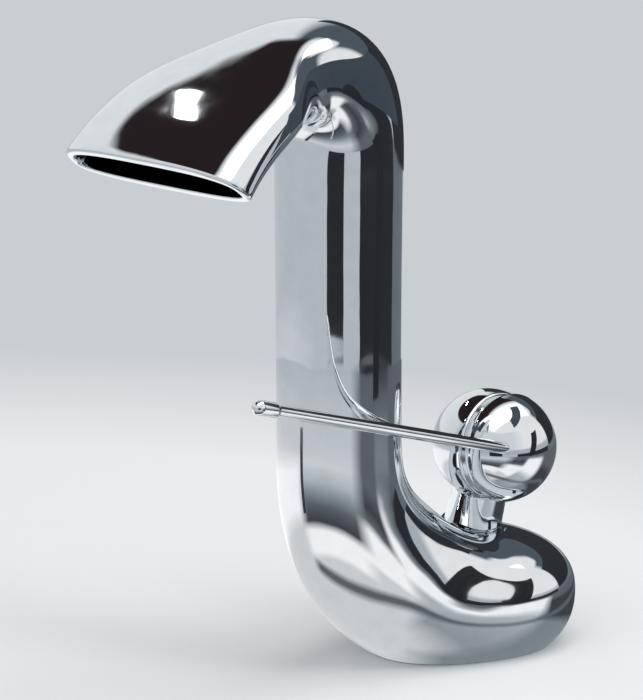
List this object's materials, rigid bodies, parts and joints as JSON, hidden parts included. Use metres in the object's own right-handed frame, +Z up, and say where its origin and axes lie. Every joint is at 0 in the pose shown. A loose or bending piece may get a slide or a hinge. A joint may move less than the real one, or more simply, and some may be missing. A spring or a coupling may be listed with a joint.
{
  "type": "single lever basin mixer tap",
  "caption": "Chrome basin mixer: swan-shaped cast spout with a wide flat sheet mouth, ball-shaped side valve on a leaning neck, domed cap and long pin lever.",
  "frame": {"origin": "centre of the deck hole, on the deck face under the foot", "axes": "+Z up, -Y forward over the basin, +X to the handle side"},
  "size_m": [0.0782, 0.1879, 0.2824],
  "materials": {
    "chrome": "polished",
    "brass": "machined",
    "copper_tube": "drawn",
    "steel": "zinc plated",
    "dark_steel": "blackened",
    "rubber": "matt",
    "ceramic": "lapped ceramic",
    "white_plastic": "moulded",
    "blue_plastic": "moulded",
    "grey_plastic": "moulded"
  },
  "bodies": {
    "faucet": {"spout_body": "chrome", "inlet_manifold": "brass", "manifold_screws": "steel", "hot_tube": "copper_tube", "cold_tube": "copper_tube", "tube_seals": "rubber", "base_gasket": "rubber", "fixing_stud": "steel", "clamp_seal": "rubber", "clamp_plate": "steel", "clamp_nut": "brass", "valve_housing": "chrome", "spigot_seals": "rubber", "neck_collar": "chrome", "valve_grub_screw": "dark_steel", "cartridge_base": "white_plastic", "port_seals": "rubber", "fixed_disc": "ceramic", "cartridge_shell": "white_plastic", "retaining_nut": "chrome"},
    "turn": {"cartridge_rotor": "grey_plastic", "rotor_seal": "rubber", "stem_pin": "steel"},
    "disc": {"moving_disc": "ceramic", "disc_carrier": "blue_plastic"},
    "handle": {"cartridge_stem": "brass", "handle_cap": "chrome", "lever_pin": "chrome"}
  },
  "joints": [
    {"name": "temperature", "type": "hinge", "parent": "faucet", "child": "turn", "pos_m": [0.0145, 0, 0.0685], "axis": [1, 0, 0], "range_deg": [-35, 35]},
    {"name": "flow", "type": "hinge", "parent": "turn", "child": "handle", "pos_m": [0.0145, 0, 0.0685], "axis": [0, 0.2823, 0.9593], "range_deg": [-4, 18]},
    {"name": "disc_slide", "type": "slide", "parent": "turn", "child": "disc", "axis": [0, -0.9593, 0.2823], "range_m": [-0.0003, 0.0012]}
  ],
  "couplings": [
    {"joint": "disc_slide", "follows": "flow", "m_per_rad": 0.003573}
  ]
}
